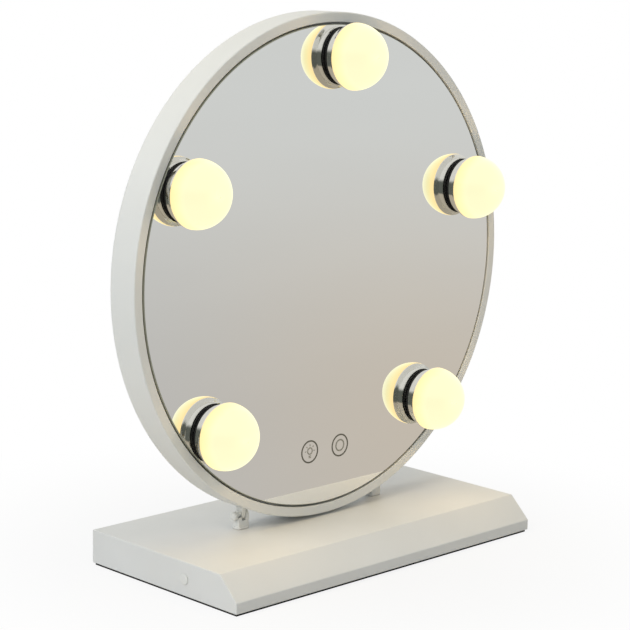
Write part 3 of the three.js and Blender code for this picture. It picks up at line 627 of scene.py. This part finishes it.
rim_bore = casing_radius - RIM_WIDTH
wall_bore = casing_radius - CASING_WALL - 0.3 * MM
casing = round_piece("casing", [
    [rim_bore, flange_front],
    *arc(rim_bore + RIM_INNER_ROUND, casing_front + RIM_INNER_ROUND, RIM_INNER_ROUND, 180, 270, 4),
    *arc(casing_radius - FRONT_EDGE_ROUND, casing_front + FRONT_EDGE_ROUND, FRONT_EDGE_ROUND, 270, 360, 5),
    *arc(casing_radius - REAR_EDGE_ROUND, casing_back - REAR_EDGE_ROUND, REAR_EDGE_ROUND, 0, 90, 8),
    [wall_bore, casing_back],
    [wall_bore, flange_back],
    [FLANGE_RADIUS, flange_back],
    [FLANGE_RADIUS, flange_front],
], CASING_SIDES, head_axis, FACING_BACK)
for side in (-1, 1):
    lug = round_ended("lug", LUG_RADIUS, side * LUG_INNER_X, side * LUG_OUTER_X, LUG_ROOT_Z,
                      round_on_top=False)
    edit(lug)
    select_where(lug, "vertices", lambda p: p.z > LUG_ROOT_Z - 0.1 * MM)
    bpy.ops.transform.resize(value=(1, LUG_ROOT / LUG_RADIUS, 1), center_override=(0, pivot.y, LUG_ROOT_Z))
    bpy.ops.object.mode_set(mode="OBJECT")
    soften(lug, 0.3 * MM, segments=2, angle=40)
    casing = joined_solid(casing, lug)
    lug_bore = across_rod("lug_bore", PIN_BORE, side * (LUG_INNER_X - MM), side * (LUG_OUTER_X + MM),
                          pivot.y, pivot.z)
    casing = cut_away(casing, lug_bore)
finished(casing, abs_white, "head", "white_plastic", "casing_ring")


# ---- Mirror glass -----------------------------------------------------------------
# 4 mm float glass, silvered on its back, its edge ground and lightly bevelled, drilled for the
# five lamp stems. A wiped mirror is never quite clean: faint smears soften its gloss here and there.

GLASS_SIDES = 240
GLASS_EDGE = 0.5 * MM
GLASS_BOW = math.radians(1.2)
SILVER = "#F0F0EE"
SMEAR_MM = 70


def silvered_glass(middle_z, radius):
    """Silvered float glass: a near perfect reflection, a touch grey, with barely visible wiping smears. The
    thin sheet bows a degree or so from its middle to its upper and lower edges, as cheap mirrors do."""
    made, tree = new_material("silvered_glass")
    place = add_node(tree, "ShaderNodeTexCoord")
    stretch = 1 / (SMEAR_MM * MM)
    smear_place = add_node(tree, "ShaderNodeMapping", {
        "Scale": (stretch * 0.4, stretch, stretch * 2.2), "Rotation": (0, 0.6, 0)},
        {"Vector": place.outputs["Object"]})
    smear = add_node(tree, "ShaderNodeTexNoise", {"Scale": 1.0, "Detail": 6.0},
                     {"Vector": smear_place.outputs[0]})
    gloss = add_node(tree, "ShaderNodeMapRange", {"From Min": 0.45, "From Max": 0.8,
                                                  "To Min": 0.012, "To Max": 0.05},
                     {"Value": smear.outputs["Fac"]})
    tone = blend(tree, SILVER, "#ECECEA", smear.outputs["Fac"])
    parts = add_node(tree, "ShaderNodeSeparateXYZ", links={0: place.outputs["Object"]})
    lean = add_node(tree, "ShaderNodeMapRange", {
        "From Min": middle_z - radius, "From Max": middle_z + radius,
        "To Min": -GLASS_BOW, "To Max": GLASS_BOW},
        {"Value": parts.outputs["Z"]})
    offset = add_node(tree, "ShaderNodeCombineXYZ", links={"Z": lean.outputs[0]})
    flat = add_node(tree, "ShaderNodeNewGeometry")
    bowed = add_node(tree, "ShaderNodeVectorMath", links={0: flat.outputs["Normal"], 1: offset.outputs[0]},
                     operation="ADD")
    facing = add_node(tree, "ShaderNodeVectorMath", links={0: bowed.outputs[0]}, operation="NORMALIZE")
    return surfaced(made, {"Metallic": 1.0}, {
        "Base Color": tone, "Roughness": gloss.outputs[0], "Normal": facing.outputs[0]})


def ground_edge():
    """The ground edge of float glass: frosted, and green where light has crossed the sheet."""
    made, tree = new_material("ground_glass_edge")
    grind = add_node(tree, "ShaderNodeTexNoise", {"Scale": 1.0, "Detail": 4.0},
                     {"Vector": pattern_place(tree, 0.4)})
    tone = blend(tree, "#969786", "#AEAF9E", grind.outputs["Fac"])
    return surfaced(made, {"Roughness": 0.38, "IOR": 1.52}, {"Base Color": tone})


glass_radius = glass_high.z - head_middle.z
glass = round_piece("glass", [
    [0, glass_back],
    [glass_radius, glass_back],
    [glass_radius, glass_front + GLASS_EDGE],
    [glass_radius - GLASS_EDGE, glass_front],
    [0, glass_front],
], GLASS_SIDES, head_axis, FACING_BACK)
finished(glass, silvered_glass(head_middle.z, glass_radius), "head", "mirror_silver", "mirror_glass")
glass.data.materials.append(ground_edge())
for face in glass.data.polygons:
    out = math.hypot(face.center.x, face.center.z - head_middle.z)
    face.material_index = 1 if out > glass_radius - GLASS_EDGE else 0


# ---- Lamps --------------------------------------------------------------------------
# Five globe lamps. Each is a black gasket on the glass, a spun and chromed collar on a
# threaded stem, and an opal dome moulded in two layers that glows warm white. The gasket's black is
# painted shade: it stands in for the shadowed gap seen between each collar and its reflection.

LAMP_SIDES = 64
LAMP_NAMES = ("top", "upper_right", "lower_right", "lower_left", "upper_left")
DOME_SEAT = 8.5 * MM
STEM_RADIUS = 4.5 * MM
GLOW_FRONT = "#FDFACC"
GLOW_SIDE = "#FBEFB2"
GLOW_SEAT = "#FFE4A4"
SEAT_GLOW = 1.2
SPILL_COLOUR = "#FFD897"
SPILL_WATTS = 0.036
SPILL_STAND_OFF = 8 * MM


def glowing_opal(seat_y, radius):
    """Opal acrylic over warm white LEDs: brightest at the front, yellower and dimmer down by the collar."""
    made, tree = new_material("glowing_opal")
    place = add_node(tree, "ShaderNodeTexCoord")
    offset = add_node(tree, "ShaderNodeMapping", {
        "Location": (0, -seat_y / radius, 0), "Scale": (1 / radius,) * 3},
        {"Vector": place.outputs["Object"]})
    parts = add_node(tree, "ShaderNodeSeparateXYZ", links={0: offset.outputs[0]})
    low = blend(tree, GLOW_SEAT, GLOW_SIDE, ramp(tree, parts.outputs["Y"], 0.0, -0.22))
    tone = blend(tree, low, GLOW_FRONT, ramp(tree, parts.outputs["Y"], -0.15, -0.5))
    power = add_node(tree, "ShaderNodeMapRange", {
        "From Min": 0.0, "From Max": -0.5, "To Min": SEAT_GLOW, "To Max": 1.0}, {"Value": parts.outputs["Y"]})
    return surfaced(made, {
        "Roughness": 0.28, "IOR": 1.49, "Base Color": linear("#1E1D1A")},
        {"Emission Color": tone, "Emission Strength": power.outputs[0]})


def bright_chrome():
    """Chrome over nickel on spun steel: mirror bright, with a faint unevenness left by the polishing."""
    made, tree = new_material("bright_chrome")
    polish = add_node(tree, "ShaderNodeTexNoise", {"Scale": 1.0, "Detail": 3.0},
                      {"Vector": pattern_place(tree, 4)})
    gloss = add_node(tree, "ShaderNodeMapRange", {"To Min": 0.07, "To Max": 0.16},
                     {"Value": polish.outputs["Fac"]})
    tone = blend(tree, "#E4E3DD", "#DBDAD3", polish.outputs["Fac"])
    return surfaced(made, {"Metallic": 1.0}, {"Base Color": tone, "Roughness": gloss.outputs[0]})


def black_rubber():
    """Painted shade: matt black with a faint bloom, standing in for the shadowed gap between a collar and its
    reflection.
    """
    made, tree = new_material("black_rubber")
    bloom = add_node(tree, "ShaderNodeTexNoise", {"Scale": 1.0}, {"Vector": pattern_place(tree, 3)})
    tone = blend(tree, "#0B0B0B", "#1D1D1C", bloom.outputs["Fac"])
    return surfaced(made, {"Roughness": 0.7, "IOR": 1.52}, {"Base Color": tone})


def placed_copy(piece, name, offset):
    """A copy of a modelled piece, with its own mesh, moved by the offset."""
    nothing_selected()
    piece.select_set(True)
    bpy.context.view_layer.objects.active = piece
    bpy.ops.object.duplicate(linked=False)
    bpy.context.object.name = name
    bpy.ops.transform.translate(value=offset)
    return bpy.context.object


def discard(*pieces):
    nothing_selected()
    for piece in pieces:
        piece.select_set(True)
    bpy.ops.object.delete()


chrome = bright_chrome()
# The gaskets' black is painted shade, for the shadowed gap between each collar and its reflection.
gasket_shade = black_rubber()
dome_low, dome_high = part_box("dome_top")
dome_radius = (dome_high.x - dome_low.x) / 2
stem_end = glass_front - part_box("collar_top")[1].y
opal = glowing_opal(glass_front - DOME_SEAT, dome_radius)
lamp_seat = (0, glass_front, 0)

# A ring on the glass under each collar, black as painted shade for the shadowed gap there.
gasket = round_piece("gasket", [
    [STEM_RADIUS + 0.4 * MM, 0.3 * MM],
    [16.4 * MM, 0.3 * MM],
    *arc(16.3 * MM, 1.15 * MM, 0.7 * MM, -70, 70, 6),
    [STEM_RADIUS + 0.4 * MM, 2 * MM],
], LAMP_SIDES, lamp_seat, FACING_FRONT)
collar = round_piece("collar", [
    [0, stem_end],
    [STEM_RADIUS, stem_end],
    [STEM_RADIUS, 2.3 * MM],
    [17.0 * MM, 2.3 * MM],
    [17.4 * MM, 2.7 * MM],
    [17.4 * MM, 5.6 * MM],
    [17.9 * MM, 6.3 * MM],
    [19.0 * MM, 7.0 * MM],
    [19.35 * MM, 7.4 * MM],
    [19.35 * MM, 8.0 * MM],
    [19.1 * MM, 8.2 * MM],
    [15.6 * MM, 8.2 * MM],
    [15.6 * MM, 4.5 * MM],
    [0, 4.5 * MM],
], LAMP_SIDES, lamp_seat, FACING_FRONT)
dome = round_piece("dome", [
    [13.9 * MM, 6.3 * MM],
    [15.3 * MM, 6.3 * MM],
    [15.3 * MM, DOME_SEAT],
    [dome_radius - 0.4 * MM, DOME_SEAT],
    *arc(0, DOME_SEAT, dome_radius, 1.5, 88, 22),
    *arc(0, DOME_SEAT, dome_radius - 1.4 * MM, 86, 41, 8),
], LAMP_SIDES, lamp_seat, FACING_FRONT)
for word in LAMP_NAMES:
    low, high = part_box("dome_" + word)
    offset = ((low.x + high.x) / 2, 0, (low.z + high.z) / 2)
    for piece, node, material, slot in (
            (gasket, "gasket_", gasket_shade, "black_rubber"),
            (collar, "collar_", chrome, "chrome"),
            (dome, "dome_", opal, "lit_dome")):
        copy = placed_copy(piece, piece.name + "_" + word, offset)
        finished(copy, material, "head", slot, node + word)
    # The light a lamp throws on the rim and base comes from a small source, itself unseen, before its dome.
    crown = glass_front - DOME_SEAT - dome_radius
    bpy.ops.object.light_add(type="POINT", location=(offset[0], crown - SPILL_STAND_OFF, offset[2]))
    spill = bpy.context.object
    spill.name = "warm_spill_" + word
    spill.data.energy = SPILL_WATTS
    spill.data.color = linear(SPILL_COLOUR)[:3]
    spill.data.shadow_soft_size = SPILL_STAND_OFF / 2
    spill.visible_glossy = False
    spill.visible_camera = False
discard(gasket, collar, dome)


# ---- Touch marks --------------------------------------------------------------------
# Two finger-sized marks screen printed on the glass in grey ink: a ringed lamp for brightness and
# a ringed circle for on and off. The sensor pads are behind the glass.

PRINT_THICKNESS = 0.06 * MM
PRINT_LIFT = 0.02 * MM
MARK_DROP = 109.8 * MM
MARK_SIDES = 64


def printing_ink(name, colour, thin):
    """Screen ink on glass: matt, a little uneven where the mesh of the screen let less ink through."""
    made, tree = new_material(name)
    mesh_marks = add_node(tree, "ShaderNodeTexNoise", {"Scale": 1.0, "Detail": 2.0},
                          {"Vector": pattern_place(tree, 0.5)})
    tone = blend(tree, colour, thin, mesh_marks.outputs["Fac"])
    return surfaced(made, {"Roughness": 0.6, "IOR": 1.5}, {"Base Color": tone})


def printed_ring(name, radius, line, place):
    """A flat ring of ink: its outer radius and the width of its line."""
    top = PRINT_LIFT + PRINT_THICKNESS
    return round_piece(name, [
        [radius - line, PRINT_LIFT],
        [radius, PRINT_LIFT],
        [radius, top],
        [radius - line, top],
    ], MARK_SIDES, place, FACING_FRONT)


def printed_bar(name, place, length, width, degrees):
    """A flat bar of ink, centred on a place on the glass and turned in its plane."""
    nothing_selected()
    depth = -PRINT_LIFT - PRINT_THICKNESS / 2
    bpy.ops.mesh.primitive_cube_add(size=1, location=Vector(place) + Vector((0, depth, 0)),
                                    rotation=(0, -math.radians(degrees), 0))
    bar = bpy.context.object
    bar.name = name
    bar.scale = (length, PRINT_THICKNESS, width)
    bpy.ops.object.transform_apply(location=True, rotation=True, scale=True)
    return bar


def joined_pieces(piece, *others):
    """Several separate strokes as one object."""
    nothing_selected()
    for other in (piece, *others):
        other.select_set(True)
    bpy.context.view_layer.objects.active = piece
    bpy.ops.object.join()
    return piece


ring_ink = printing_ink("dark_grey_ink", "#5C594E", "#6C695E")
glyph_ink = printing_ink("mid_grey_ink", "#8E8B80", "#A19E92")
mark_height = head_middle.z - MARK_DROP
lamp_mark = Vector((-13.6 * MM, glass_front, mark_height))
power_mark = Vector((12.0 * MM, glass_front, mark_height))
for word, place in (("lamp", lamp_mark), ("power", power_mark)):
    outline = printed_ring(word + "_mark_ring", 7.05 * MM, 0.95 * MM, place)
    finished(outline, ring_ink, "head", "black_plastic")
power_circle = printed_ring("power_mark_circle", 3.8 * MM, 0.9 * MM, power_mark)
finished(power_circle, glyph_ink, "head", "black_plastic")

glyph_middle = lamp_mark + Vector((0.2 * MM, 0, 0.4 * MM))
glyph = printed_ring("lamp_mark_glyph", 2.3 * MM, 0.75 * MM, glyph_middle)
strokes = [printed_bar("cap_stroke", glyph_middle + Vector((0, 0, -drop * MM)), 1.9 * MM, 0.6 * MM, 0)
           for drop in (3.1, 4.0)]
for degrees in (0, 45, 90, 135, 180):
    out = Vector((math.cos(math.radians(degrees)), 0, math.sin(math.radians(degrees))))
    strokes.append(printed_bar("ray", glyph_middle + out * 3.6 * MM, 1.2 * MM, 0.5 * MM, degrees))
finished(joined_pieces(glyph, *strokes), glyph_ink, "head", "black_plastic")


# ---- Rear cover ---------------------------------------------------------------------
# A flat ABS panel let into the back of the casing, with a spark-eroded texture, a bead round its
# edge, four counterbored screw holes and a hole for the power socket.

COVER_SIDES = 200
COVER_BEAD = 4 * MM
SCREW_NAMES = ("1", "2", "3", "4")

cover_low, cover_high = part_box("rear_cover")
cover_radius = (cover_high.x - cover_low.x) / 2
cover = round_piece("cover", [
    [0, cover_low.y],
    [cover_radius, cover_low.y],
    *arc(cover_radius - 0.5 * MM, cover_high.y - 0.5 * MM, 0.5 * MM, 0, 90, 3),
    [cover_radius - COVER_BEAD, cover_high.y],
    [cover_radius - COVER_BEAD - 0.4 * MM, cover_high.y - 0.4 * MM],
    [cover_radius - COVER_BEAD - 1.2 * MM, cover_high.y - 0.4 * MM],
    [cover_radius - COVER_BEAD - 1.6 * MM, cover_high.y],
    [0, cover_high.y],
], COVER_SIDES, head_axis, FACING_BACK)


def drill(name, place, radius, from_y, to_y):
    """A cylinder along Y, to cut a round hole with."""
    nothing_selected()
    bpy.ops.mesh.primitive_cylinder_add(vertices=48, radius=radius, depth=to_y - from_y,
                                        location=(place[0], (from_y + to_y) / 2, place[2]),
                                        rotation=FACING_BACK)
    cutter = bpy.context.object
    cutter.name = name
    bpy.ops.object.transform_apply(location=True, rotation=True, scale=True)
    return cutter


screw_boxes = {word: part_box("cover_screw_" + word) for word in SCREW_NAMES}
cutters = []
for word, (low, high) in screw_boxes.items():
    place = (low + high) / 2
    cutters.append(drill("screw_hole", place, 1.8 * MM, cover_low.y - MM, cover_high.y + MM))
    cutters.append(drill("screw_seat", place, 3.1 * MM, cover_high.y - MM, cover_high.y + MM))
socket_low, socket_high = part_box("dc_socket")
socket_place = (socket_low + socket_high) / 2
cutters.append(drill("socket_hole", socket_place, 4.3 * MM, cover_low.y - MM, cover_high.y + MM))
cover = cut_away(cover, *cutters)
finished(cover, abs_white, "head", "white_plastic", "rear_cover")


# ---- Cover screws -------------------------------------------------------------------
# Four zinc-plated pan-head screws, cold-headed with a cross recess, cutting their own thread in
# the casing's bosses.

SCREW_HEAD_RADIUS = 2.8 * MM
SCREW_SHANK_RADIUS = 1.2 * MM
CROSS_LENGTH = 2.9 * MM
CROSS_WIDTH = 0.75 * MM
CROSS_DEPTH = 0.9 * MM


def zinc_plate():
    """Steel wire, cold-headed and zinc plated: bright grey, a little blue, finely crystalline."""
    made, tree = new_material("zinc_plate")
    crystals = add_node(tree, "ShaderNodeTexVoronoi", {"Scale": 1.0}, {"Vector": pattern_place(tree, 0.3)})
    gloss = add_node(tree, "ShaderNodeMapRange", {"To Min": 0.25, "To Max": 0.42},
                     {"Value": crystals.outputs["Distance"]})
    tone = blend(tree, "#A9ADB1", "#BFC2C4", crystals.outputs["Distance"])
    return surfaced(made, {"Metallic": 1.0}, {"Base Color": tone, "Roughness": gloss.outputs[0]})


zinc = zinc_plate()
first_low, first_high = screw_boxes["1"]
seat = cover_high.y - 0.7 * MM
screw = round_piece("cover_screw", [
    [0, first_low.y],
    [0.5 * MM, first_low.y],
    [SCREW_SHANK_RADIUS, first_low.y + MM],
    [SCREW_SHANK_RADIUS, seat],
    [SCREW_HEAD_RADIUS, seat],
    [SCREW_HEAD_RADIUS, seat + 0.5 * MM],
    [SCREW_HEAD_RADIUS - 0.5 * MM, first_high.y - 0.15 * MM],
    [SCREW_HEAD_RADIUS - 1.2 * MM, first_high.y],
    [0, first_high.y],
], 32, (0, 0, 0), FACING_BACK)
for x, z in ((CROSS_LENGTH / 2, CROSS_WIDTH / 2), (CROSS_WIDTH / 2, CROSS_LENGTH / 2)):
    cut = box_piece("cross_cut", (-x, first_high.y - CROSS_DEPTH, -z), (x, first_high.y + MM, z))
    screw = cut_away(screw, cut)
for word, (low, high) in screw_boxes.items():
    offset = ((low.x + high.x) / 2, 0, (low.z + high.z) / 2)
    copy = placed_copy(screw, "cover_screw_head_" + word, offset)
    finished(copy, zinc, "head", "steel", "cover_screw_" + word)
discard(screw)


# ---- Power socket -------------------------------------------------------------------
# A round barrel socket in glossy black nylon, its centre pin nickel plated, let through the cover.

SOCKET_SIDES = 48


def black_nylon():
    """Glass-filled nylon, moulded glossy black, with a faint flow pattern."""
    made, tree = new_material("black_nylon")
    flow = add_node(tree, "ShaderNodeTexNoise", {"Scale": 1.0, "Detail": 3.0},
                    {"Vector": pattern_place(tree, 2)})
    gloss = add_node(tree, "ShaderNodeMapRange", {"To Min": 0.2, "To Max": 0.36},
                     {"Value": flow.outputs["Fac"]})
    tone = blend(tree, "#111111", "#1B1B1C", flow.outputs["Fac"])
    return surfaced(made, {"IOR": 1.53}, {"Base Color": tone, "Roughness": gloss.outputs[0]})


socket_lip = cover_high.y + 0.3 * MM
socket = round_piece("power_socket", [
    [0, socket_low.y],
    [4 * MM, socket_low.y],
    [4 * MM, socket_lip],
    [5.4 * MM, socket_lip],
    [5.6 * MM, socket_lip + 0.2 * MM],
    [5.6 * MM, socket_high.y - 0.3 * MM],
    [5.3 * MM, socket_high.y],
    [3.1 * MM, socket_high.y],
    [2.8 * MM, socket_high.y - 0.3 * MM],
    [2.8 * MM, socket_low.y + 1.5 * MM],
    [1 * MM, socket_low.y + 1.5 * MM],
    [1 * MM, socket_lip - 0.2 * MM],
    [0.8 * MM, socket_lip],
    [0, socket_lip],
], SOCKET_SIDES, (socket_place.x, 0, socket_place.z), FACING_BACK)
finished(socket, black_nylon(), "head", "black_plastic", "dc_socket")
socket.data.materials.append(zinc)
for face in socket.data.polygons:
    out = math.hypot(face.center.x - socket_place.x, face.center.z - socket_place.z)
    face.material_index = 1 if out < 1.01 * MM and face.center.y > socket_low.y + MM else 0


# ---- Parts inside the head and base -------------------------------------------------
# The tape, boards, leads, nuts and screws keep their plain shapes: they are closed in behind the
# glass and cover or under the base. Each gets the surface of what it is made of.

def two_tone(name, tones, scale_mm, gloss, metallic=0.0):
    """A manufactured surface whose tone and gloss vary finely between two values."""
    made, tree = new_material(name)
    grain = add_node(tree, "ShaderNodeTexNoise", {"Scale": 1.0, "Detail": 3.0},
                     {"Vector": pattern_place(tree, scale_mm)})
    tone = blend(tree, tones[0], tones[1], grain.outputs["Fac"])
    shine = add_node(tree, "ShaderNodeMapRange", {"To Min": gloss[0], "To Max": gloss[1]},
                     {"Value": grain.outputs["Fac"]})
    return surfaced(made, {"Metallic": metallic}, {
        "Base Color": tone, "Roughness": shine.outputs[0]})


solder_mask = two_tone("green_solder_mask", ("#1C5A37", "#2A6E45"), 1.5, (0.3, 0.5))
white_board = two_tone("white_coated_aluminium", ("#EDEDE6", "#F6F6F0"), 1.0, (0.35, 0.5))
flat_cable = two_tone("polyester_flat_cable", ("#DEDED6", "#EFEFE8"), 0.6, (0.25, 0.4))
pvc = two_tone("red_pvc_sleeve", ("#A8261F", "#BE3228"), 1.2, (0.35, 0.5))
inside = {"foot_screw_left": zinc, "foot_screw_right": zinc, "glass_tape": foam,
          "backing_plate": abs_white, "touch_board": solder_mask, "control_board": solder_mask,
          "touch_ribbon": flat_cable, "power_lead": pvc}
for word in LAMP_NAMES:
    inside["led_board_" + word] = white_board
    inside["stem_nut_" + word] = zinc
    inside["bulb_lead_" + word] = pvc
for name, material in inside.items():
    nodes[name].material_slots[0].material = material
